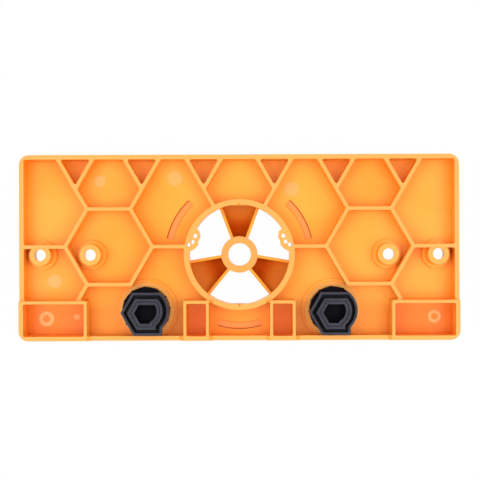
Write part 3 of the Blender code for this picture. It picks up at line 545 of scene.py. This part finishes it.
def paper_floor():
    """Matt white card, nearly white to the camera, in gloss and through glass, and it keeps its shadow."""
    material = bpy.data.materials.new("card_white_matt")
    material.use_nodes = True
    tree = material.node_tree
    tree.nodes.clear()
    output = add_node(tree, "ShaderNodeOutputMaterial")
    path = add_node(tree, "ShaderNodeLightPath").outputs
    seen = path["Is Camera Ray"]
    for ray in ("Is Glossy Ray", "Is Transmission Ray"):
        seen = add_node(tree, "ShaderNodeMath", {0: seen, 1: path[ray]}, operation="MAXIMUM").outputs[0]
    # A fiftieth of what is seen is the lit card
    share = add_node(tree, "ShaderNodeMath", {0: seen, 1: 0.98}, operation="MULTIPLY").outputs[0]
    card = add_node(tree, "ShaderNodeBsdfDiffuse", {"Color": linear("#F4F4F4")})
    white = add_node(tree, "ShaderNodeEmission", {"Color": linear("#FFFFFF"), "Strength": 1.0})
    mix = add_node(tree, "ShaderNodeMixShader", {0: share, 1: card.outputs[0], 2: white.outputs[0]})
    tree.links.new(mix.outputs[0], output.inputs["Surface"])
    return material


def finish_node(name, material):
    """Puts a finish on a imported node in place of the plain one."""
    mesh = frame["nodes"][name].data
    mesh.materials.clear()
    mesh.materials.append(material)


# Operators

class JIG_OT_finish_plate(bpy.types.Operator):
    """Give the plate its moulded finish"""
    bl_idname = "jig.finish_plate"
    bl_label = "Finish Plate"

    def execute(self, context):
        finish_node("guide_plate", moulded_abs(context.scene.jig_finish))
        return {"FINISHED"}


class JIG_OT_finish_dials(bpy.types.Operator):
    """Give the dials their moulded finish"""
    bl_idname = "jig.finish_dials"
    bl_label = "Finish Dials"

    def execute(self, context):
        dial = moulded_nylon("black_nylon_dial", context.scene.jig_finish, wear_and_sheen_from=19 * MM, wear_and_sheen_to=1 * MM)
        for side in SIDES:
            finish_node("setting_dial_" + side, dial)
        return {"FINISHED"}


class JIG_OT_add_cams(bpy.types.Operator):
    """Add the stepped cams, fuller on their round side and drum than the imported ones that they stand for"""
    bl_idname = "jig.add_cams"
    bl_label = "Add Cams"

    def execute(self, context):
        # Painted sheen: the cams' top faces turn greyer
        material = moulded_nylon(
            "black_nylon_cam", context.scene.jig_finish,
            wear_and_sheen_from=Z_CAM_PLATE - 0.5 * MM, wear_and_sheen_to=Z_CAM_PLATE - 0.15 * MM, matt_below=Z_CAM_PLATE - 2 * MM)
        points = self.cam_grid()
        for side in SIDES:
            body = side + "_cam"
            shell = grid_shell(points + np.array([*CAM_AXES[body], 0.0]), capped=True)
            cam = new_piece("stepped_cam_" + side, [shell], material, body, sharp=25.0)
            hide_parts("index_cam_" + side)
        return {"FINISHED"}

    def cam_grid(self):
        """Points of a cam about its axis, from the well's floor out over the plate to the drum and its socket.

        Each row is the stepped outline at an offset, or below the plate a circle, at one height, in
        mm. The drum's circle swells by a parabola at each detent.
        """
        loops = [
            # The well's floor and wall
            (-3.0, 30.5), (-3.0, 38.1), (-2.8, 38.3),
            # The fine groove in the post's top
            (-1.75, 38.3), (-1.7, 37.5), (-1.2, 37.5), (-1.15, 38.3),
            # The post's wall and the groove round its foot
            (-0.25, 38.3), (0.0, 38.05), (0.05, 33.3), (0.25, 33.1), (1.65, 33.1), (1.8, 33.25), (1.8, 35.75),
            # The plate's rim
            (1.95, 35.9), (2.85, 35.9), (3.1, 35.65), (3.1, 32.5),
        ]
        rim = self.cam_outline(3.1)
        outward = rim / np.linalg.norm(rim, axis=1)[:, None]
        turn = np.degrees(np.arctan2(outward[:, 1], outward[:, 0]))
        beside = (turn - DETENT_START + DETENT_STEP / 2) % DETENT_STEP - DETENT_STEP / 2
        drum = DRUM_RADIUS + DETENT_HEIGHT * np.clip(1 - (beside / DETENT_HALF_WIDTH) ** 2, 0, 1)
        circles = [
            # The neck and the drum
            (9.5, 32.5), (9.5, 29.9), (11.8, 29.9), (drum, 29.6), (drum, 23.1), (11.9, 22.9),
            # The socket for the dial's key, and the screw's hole in its roof
            (4.4, 22.9), (4.4, 25.8), (1.9, 25.8), (1.9, 28.7),
        ]
        rows = [(self.cam_outline(offset), height) for offset, height in loops]
        rows += [(outward * np.reshape(radius, (-1, 1)), height) for radius, height in circles]
        return np.array([np.column_stack([row, np.full(len(row), height)]) for row, height in rows]) * MM

    def cam_outline(self, offset):
        """Stepped outline in mm, moved out by an offset.

        Four flats, each 60 degrees and 1 mm on from the last, end at an upright shoulder, and an arc
        leads from there back to the first flat. Their corners are where two neighbours cross.
        """
        turn = np.radians([90, 150, 210, 270, 0])
        normals = np.column_stack([np.cos(turn), np.sin(turn)])
        reach = np.array([*CAM_FLATS, CAM_SHOULDER]) + offset
        radius = CAM_ARC_RADIUS + offset
        start, end = -math.acos(reach[4] / radius), math.asin(reach[0] / radius)
        corners = [np.array([radius * math.cos(end), reach[0]])]
        corners += [np.linalg.solve(normals[index:index + 2], reach[index:index + 2]) for index in range(4)]
        corners += [np.array([reach[4], radius * math.sin(start)])]
        # 30 points on each flat, 4 on the shoulder and 80 on the arc
        parts = []
        for first, second, count in zip(corners, corners[1:], (30, 30, 30, 30, 4)):
            parts.append(first + (second - first) * np.linspace(0, 1, count, endpoint=False)[:, None])
        sweep = np.linspace(start, end, 80, endpoint=False)
        parts.append(radius * np.column_stack([np.cos(sweep), np.sin(sweep)]))
        outline = np.concatenate(parts)
        # Each point moves halfway to the middle of its neighbours, which rounds the corners
        return (np.roll(outline, 1, axis=0) + 2 * outline + np.roll(outline, -1, axis=0)) / 4


class JIG_OT_add_ejector_marks(bpy.types.Operator):
    """Add the ejector pins' shallow marks on the plate's floors"""
    bl_idname = "jig.add_ejector_marks"
    bl_label = "Add Ejector Marks"

    def execute(self, context):
        top, low = Z_FLOOR + context.scene.jig_details.mark_height, Z_FLOOR - 0.2 * MM
        edge = Z_FLOOR + 0.02 * MM
        shells = []
        for x, y, inner, outer in EJECTOR_MARKS:
            centre, inner, outer = (x * MM, y * MM), inner * MM, outer * MM
            if inner:
                # A ring: its height rises from both edges to the middle as a sine
                share = np.linspace(0.0, 1.0, 9)
                radii = [*(inner + (outer - inner) * share), outer, inner]
                heights = [*(edge + (top - edge) * np.sin(math.pi * share)), low, low]
                shells.append(grid_shell(turned_points(centre, radii, heights, 48), wrap_rows=True))
            else:
                # A low dome: its height falls from the middle to the edge with the cube of the radius
                share = np.linspace(0.05, 1.0, 12)
                radii = np.append(outer * share, outer)
                heights = np.append(top - (top - edge) * share ** 3, low)
                shells.append(grid_shell(turned_points(centre, radii, heights, 48), capped=True))
        new_piece("ejector_marks", shells, marked_abs(context.scene.jig_finish), "plate")
        return {"FINISHED"}


class JIG_OT_add_arc_floors(bpy.types.Operator):
    """Add the smooth floors of the three arc recesses round the cup ring"""
    bl_idname = "jig.add_arc_floors"
    bl_label = "Add Arc Floors"

    def execute(self, context):
        # The section is a shallow trough 0.05 mm thick that rises to both sides as a cosine
        share = np.linspace(0.0, 1.0, 17)
        radii = ARC_RADII[0] + (ARC_RADII[1] - ARC_RADII[0]) * share
        heights = Z_ARC_FLOOR + 0.05 * MM + 0.06 * MM * (0.5 + 0.5 * np.cos(2 * math.pi * share))
        low = Z_ARC_FLOOR - 0.2 * MM
        profile = [*zip(radii, heights), (ARC_RADII[1], low), (ARC_RADII[0], low)]
        shells = [
            grid_shell(arc_points(CUP, profile, middle, ARC_HALF_ANGLE, 40), capped=True) for middle in ARC_ANGLES]
        new_piece("arc_floors", shells, arc_abs(context.scene.jig_finish), "plate")
        return {"FINISHED"}


class JIG_OT_add_notch_floors(bpy.types.Operator):
    """Add the floors of the two index notches in the cup ring's top edge"""
    bl_idname = "jig.add_notch_floors"
    bl_label = "Add Notch Floors"

    def execute(self, context):
        # The section is a block with a rounded top that closes a notch from 1.2 mm below the ring's top down
        profile = [(26.9, 18.0), (26.9, 30.8), (26.2, 30.8), (25.6, 30.6), (25.36, 30.2), (25.36, 18.0)]
        profile = [(radius * MM, height * MM) for radius, height in profile]
        shells = [grid_shell(arc_points(CUP, profile, middle, 1.9, 5), capped=True) for middle in (90, 270)]
        material = bpy.data.materials["orange_abs_moulded"]
        new_piece("ring_notch_floors", shells, material, "plate")
        return {"FINISHED"}


class JIG_OT_add_dial_flutes(bpy.types.Operator):
    """Add the fluted finger band round each dial"""
    bl_idname = "jig.add_dial_flutes"
    bl_label = "Add Dial Flutes"

    def execute(self, context):
        details = context.scene.jig_details
        material = bpy.data.materials["black_nylon_dial"]
        turn = np.linspace(0, 2 * math.pi, details.flute_count * 8, endpoint=False)
        # Radius of the band: the dial's, and a crest as high as the absolute sine of half the flutes' angle
        crest = DIAL_RADIUS + details.flute_depth * np.abs(np.sin(turn * details.flute_count / 2))
        low, high = Z_DIAL_FACE + 0.9 * MM, Z_DIAL_BACK - 0.5 * MM
        hidden = np.full_like(turn, DIAL_RADIUS - 0.6 * MM)
        edge = np.full_like(turn, DIAL_RADIUS - 0.02 * MM)
        radii = np.stack([hidden, edge, crest, crest, edge, hidden])
        heights = [low, low, low + 0.35 * MM, high - 0.35 * MM, high, high]
        for side in SIDES:
            body = side + "_cam"
            shell = grid_shell(turned_points(CAM_AXES[body], radii, heights, len(turn)), wrap_rows=True)
            new_piece("dial_flutes_" + side, [shell], material, body, sharp=50.0)
        return {"FINISHED"}


class JIG_OT_add_dial_numbers(bpy.types.Operator):
    """Add the raised, inked numbers on the dials' faces"""
    bl_idname = "jig.add_dial_numbers"
    bl_label = "Add Dial Numbers"

    def execute(self, context):
        material = pad_ink(context.scene.jig_finish)
        height = context.scene.jig_details.number_height
        for side in SIDES:
            body = side + "_cam"
            shells = []
            for angle, text in DIAL_NUMBERS:
                points, faces = self.number_points(text, height)
                outward = np.array([math.cos(math.radians(angle)), math.sin(math.radians(angle)), 0.0])
                # Read from below, so what is right of outward there is its turn towards +Y from +X
                rightward = np.array([-outward[1], outward[0], 0.0])
                downward = np.array([0.0, 0.0, -1.0])
                middle = np.array([*CAM_AXES[body], Z_DIAL_FACE]) + DIAL_NUMBER_RADIUS * outward
                shells.append((middle + points @ np.array([rightward, outward, downward]), faces))
            new_piece("dial_numbers_" + side, shells, material, body, sharp=30.0)
        return {"FINISHED"}

    def number_points(self, text, height):
        """Points and faces of one number, centred in plan, with its back just below the face it stands on."""
        curve = bpy.data.curves.new("number_" + text, "FONT")
        curve.body, curve.size, curve.resolution_u = text, 1.0, 6
        curve.extrude = 0.05
        holder = bpy.data.objects.new("number_" + text, curve)
        bpy.context.scene.collection.objects.link(holder)
        bpy.context.view_layer.update()
        mesh = bpy.data.meshes.new_from_object(holder.evaluated_get(bpy.context.evaluated_depsgraph_get()))
        surface = bmesh.new()
        surface.from_mesh(mesh)
        bmesh.ops.remove_doubles(surface, verts=surface.verts, dist=0.0001)
        surface.to_mesh(mesh)
        surface.free()
        points = np.empty(len(mesh.vertices) * 3)
        mesh.vertices.foreach_get("co", points)
        points = points.reshape(-1, 3)
        low, high = points.min(axis=0), points.max(axis=0)
        points = (points - (low + high) / 2) * height / (high[1] - low[1])
        # 0.2 mm proud of the face and 0.1 mm into it
        points[:, 2] = np.where(points[:, 2] > 0, 0.2 * MM, -0.1 * MM)
        faces = [np.array([list(face.vertices)]) for face in mesh.polygons]
        bpy.data.objects.remove(holder)
        bpy.data.curves.remove(curve)
        bpy.data.meshes.remove(mesh)
        return points, faces


class JIG_OT_add_cam_screws(bpy.types.Operator):
    """Add the cross-recess screws that hold each dial to its cam, in place of the plain ones"""
    bl_idname = "jig.add_cam_screws"
    bl_label = "Add Cam Screws"

    def execute(self, context):
        material = zinc_plate(context.scene.jig_finish)
        pitch = context.scene.jig_details.thread_pitch
        for side in SIDES:
            body = side + "_cam"
            radii, heights = self.screw_grid(pitch)
            shell = grid_shell(turned_points(CAM_AXES[body], radii, heights, radii.shape[1]), capped=True)
            screw = new_piece("cam_screw_zinc_" + side, [shell], material, body, sharp=40.0)
            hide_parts("cam_screw_" + side)
        return {"FINISHED"}

    def screw_grid(self, pitch):
        """Radius and height at each point, from the head's middle out over its rim and up the thread to the tip.

        Crown: the height rises from 7.5 to 7.8 mm with the square of the radius out to 2.4 mm, then
        to 8.6 mm along a quarter circle. The recess sinks it where one of the two arms' distances is
        under 0.45 mm, deeper towards the middle. Thread: the radius swings between crest and root as
        the height plus the turn's share of a pitch passes each pitch.
        """
        sides = 72
        turn = np.linspace(0, 2 * math.pi, sides, endpoint=False)[None, :]
        flat = np.linspace(0.05, 2.4, 34)[:, None] * MM
        x, y = flat * np.cos(turn), flat * np.sin(turn)
        arm = np.minimum(np.abs(x), np.abs(y))
        reach = np.maximum(np.abs(x), np.abs(y))
        within = np.clip((0.50 * MM - arm) / (0.10 * MM), 0, 1)
        within = within * np.clip((1.75 * MM - reach) / (0.15 * MM), 0, 1)
        sink = 1.3 * MM * within * (1 - 0.45 * np.clip(reach / (1.75 * MM), 0, 1))
        head_radii = flat + 0 * turn
        head_heights = 7.5 * MM + 0.3 * MM * (flat / (2.4 * MM)) ** 2 + sink

        bend = np.linspace(0, math.pi / 2, 7)[1:, None]
        rim_radii = (2.4 + 0.6 * np.sin(bend)) * MM + 0 * turn
        rim_heights = (8.6 - 0.8 * np.cos(bend)) * MM + 0 * turn
        step_radii = np.array([[3.0], [2.9], [1.6]]) * MM + 0 * turn
        step_heights = np.array([[9.6], [9.7], [9.7]]) * MM + 0 * turn

        rise = np.arange(9.9 * MM, 26.2 * MM, pitch / 8)[:, None]
        phase = (rise / pitch + turn / (2 * math.pi)) % 1.0
        crest = 1 - np.clip(np.abs(phase - 0.5) / 0.32, 0, 1)
        run_in = np.clip((rise - 10.2 * MM) / (1.2 * MM), 0, 1)
        run_in = run_in * np.clip((26.4 * MM - rise) / (1.6 * MM), 0, 1)
        thread_radii = (1.22 + 0.38 * crest * run_in) * MM
        thread_heights = rise + 0 * turn
        tip_radii = np.array([[1.2], [0.6], [0.15]]) * MM + 0 * turn
        tip_heights = np.array([[26.3], [27.4], [27.7]]) * MM + 0 * turn
        radii = np.concatenate([head_radii, rim_radii, step_radii, thread_radii, tip_radii])
        heights = np.concatenate([head_heights, rim_heights, step_heights, thread_heights, tip_heights])
        return radii, heights


class JIG_OT_add_stage(bpy.types.Operator):
    """Add the floor, the soft lights and the camera"""
    bl_idname = "jig.add_stage"
    bl_label = "Add Stage"

    def execute(self, context):
        scene, settings = context.scene, context.scene.jig_stage
        self.add_floor(scene)
        self.add_sky(scene, settings)
        for name, side in (("lamp_left", -1), ("lamp_right", 1)):
            light = bpy.data.lights.new(name, "AREA")
            light.energy, light.size = settings.lamp_power, settings.lamp_size
            lamp = bpy.data.objects.new(name, light)
            # Aimed at the origin
            place = Vector((side * LAMP_PLACE[0], *LAMP_PLACE[1:]))
            lamp.location = place
            lamp.rotation_euler = place.to_track_quat("Z", "Y").to_euler()
            scene.collection.objects.link(lamp)

        lens = bpy.data.cameras.new("camera")
        lens.sensor_width = 36.0
        lens.lens = lens.sensor_width / 2 / math.tan(settings.view_angle / 2)
        lens.shift_x, lens.shift_y = CAMERA_SHIFT
        lens.clip_start, lens.clip_end = 0.01, 20.0
        camera = bpy.data.objects.new("camera", lens)
        camera.location = (*CAMERA_PLACE, Z_WORK + settings.camera_height)
        camera.rotation_euler = (0.0, 0.0, settings.camera_roll)
        scene.collection.objects.link(camera)
        scene.camera = camera
        scene.view_settings.view_transform = "Standard"
        return {"FINISHED"}

    def add_floor(self, scene):
        """Square of white card, level with the lowest faces of the part."""
        corners = [(FLOOR_REACH * x, FLOOR_REACH * y, 0.0) for x, y in ((-1, -1), (1, -1), (1, 1), (-1, 1))]
        mesh = bpy.data.meshes.new("floor")
        mesh.from_pydata(corners, [], [(0, 1, 2, 3)])
        mesh.materials.append(paper_floor())
        floor = bpy.data.objects.new("floor", mesh)
        scene.collection.objects.link(floor)

    def add_sky(self, scene, settings):
        """White to the camera and dimmer all round, with a softbox within about 30 degrees of straight overhead.

        A polarising filter crosses the softbox's light, so gloss mirrors little of what is overhead.
        """
        world = bpy.data.worlds.new("studio")
        scene.world = world
        world.use_nodes = True
        tree = world.node_tree
        tree.nodes.clear()
        direction = add_node(tree, "ShaderNodeTexCoord").outputs["Generated"]
        upward = add_node(tree, "ShaderNodeSeparateXYZ", {0: direction}).outputs["Z"]
        path = add_node(tree, "ShaderNodeLightPath").outputs
        softbox = zone(tree, (upward, *SOFTBOX_EDGE, settings.sky_level, settings.softbox_level))
        crossed = zone(tree, (upward, *CROSSED_EDGE, settings.sky_level, settings.sky_level * settings.sky_crown))
        level = add_node(tree, "ShaderNodeMix", {0: path["Is Glossy Ray"], 2: softbox, 3: crossed}, data_type="FLOAT")
        strength = add_node(
            tree, "ShaderNodeMix", {0: path["Is Camera Ray"], 2: level.outputs[0], 3: 1.0}, data_type="FLOAT")
        sky = add_node(tree, "ShaderNodeBackground", {"Color": linear("#FFFFFF"), "Strength": strength.outputs[0]})
        output = add_node(tree, "ShaderNodeOutputWorld")
        tree.links.new(sky.outputs[0], output.inputs["Surface"])


class JIG_PT_panel(bpy.types.Panel):
    """Lists the steps and their settings"""
    bl_idname = "JIG_PT_panel"
    bl_label = "Hinge Drilling Jig"
    bl_space_type = "VIEW_3D"
    bl_region_type = "UI"
    bl_category = "Drilling Jig"

    def draw(self, context):
        layout = self.layout
        for operator in OPERATORS:
            layout.operator(operator.bl_idname)
        for settings in (context.scene.jig_finish, context.scene.jig_details, context.scene.jig_stage):
            box = layout.box()
            for name in settings.__annotations__:
                box.prop(settings, name)


OPERATORS = (
    JIG_OT_finish_plate,
    JIG_OT_finish_dials,
    JIG_OT_add_cams,
    JIG_OT_add_ejector_marks,
    JIG_OT_add_arc_floors,
    JIG_OT_add_notch_floors,
    JIG_OT_add_dial_flutes,
    JIG_OT_add_dial_numbers,
    JIG_OT_add_cam_screws,
    JIG_OT_add_stage,
)
CLASSES = (JigFinish, JigDetails, JigStage, *OPERATORS, JIG_PT_panel)


def register():
    """Registers the settings, operators and panel, and hangs the settings on the scene."""
    for item in CLASSES:
        bpy.utils.register_class(item)
    bpy.types.Scene.jig_finish = PointerProperty(type=JigFinish)
    bpy.types.Scene.jig_details = PointerProperty(type=JigDetails)
    bpy.types.Scene.jig_stage = PointerProperty(type=JigStage)


def unregister():
    """Takes back what register() did."""
    del bpy.types.Scene.jig_stage
    del bpy.types.Scene.jig_details
    del bpy.types.Scene.jig_finish
    for item in reversed(CLASSES):
        bpy.utils.unregister_class(item)


def main():
    """Makes every piece in order."""
    register()
    bpy.ops.jig.finish_plate()
    bpy.ops.jig.finish_dials()
    bpy.ops.jig.add_cams()
    bpy.ops.jig.add_ejector_marks()
    bpy.ops.jig.add_arc_floors()
    bpy.ops.jig.add_notch_floors()
    bpy.ops.jig.add_dial_flutes()
    bpy.ops.jig.add_dial_numbers()
    bpy.ops.jig.add_cam_screws()
    bpy.ops.jig.add_stage()


if __name__ == "__main__":
    main()
